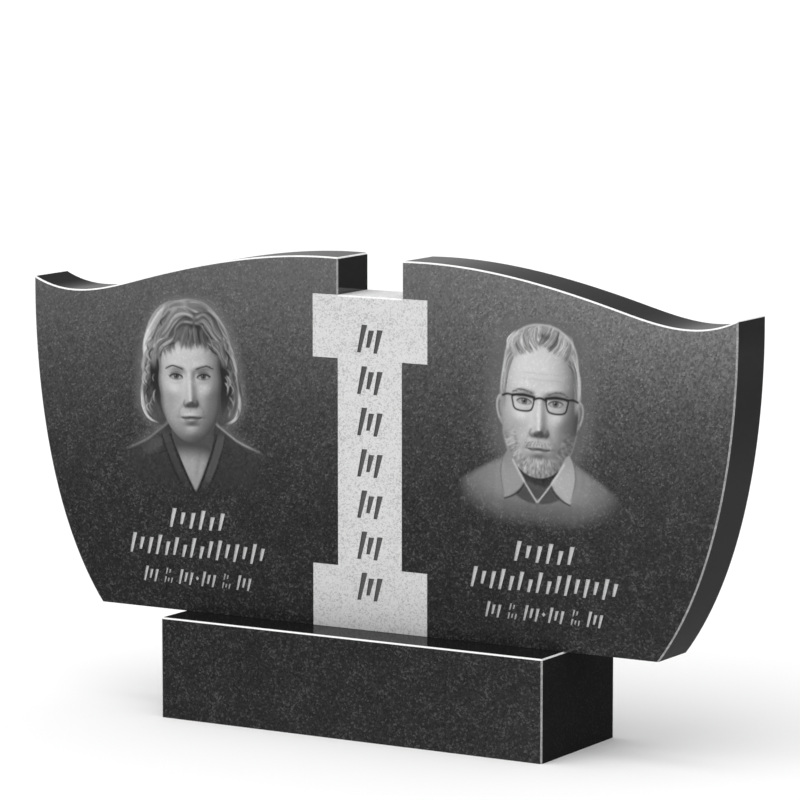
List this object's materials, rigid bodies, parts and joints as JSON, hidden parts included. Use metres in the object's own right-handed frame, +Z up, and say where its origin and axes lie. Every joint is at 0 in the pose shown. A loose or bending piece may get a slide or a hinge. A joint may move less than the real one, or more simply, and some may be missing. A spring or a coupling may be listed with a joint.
{
  "type": "double headstone",
  "caption": "Double headstone: two wave-topped dark granite steles locked by a light I-shaped key on one plinth",
  "frame": {"origin": "middle of the plinth's underside, on the ground", "axes": "+X runs along the front to the viewer's right, +Y from the inscribed front to the rear, +Z up"},
  "size_m": [1.102, 0.2, 0.646],
  "materials": {
    "dark_granite": "polished",
    "light_granite": "satin"
  },
  "bodies": {
    "root": {"plinth": "dark_granite", "left_stele": "dark_granite", "right_stele": "dark_granite", "centre_insert": "light_granite"}
  },
  "joints": []
}
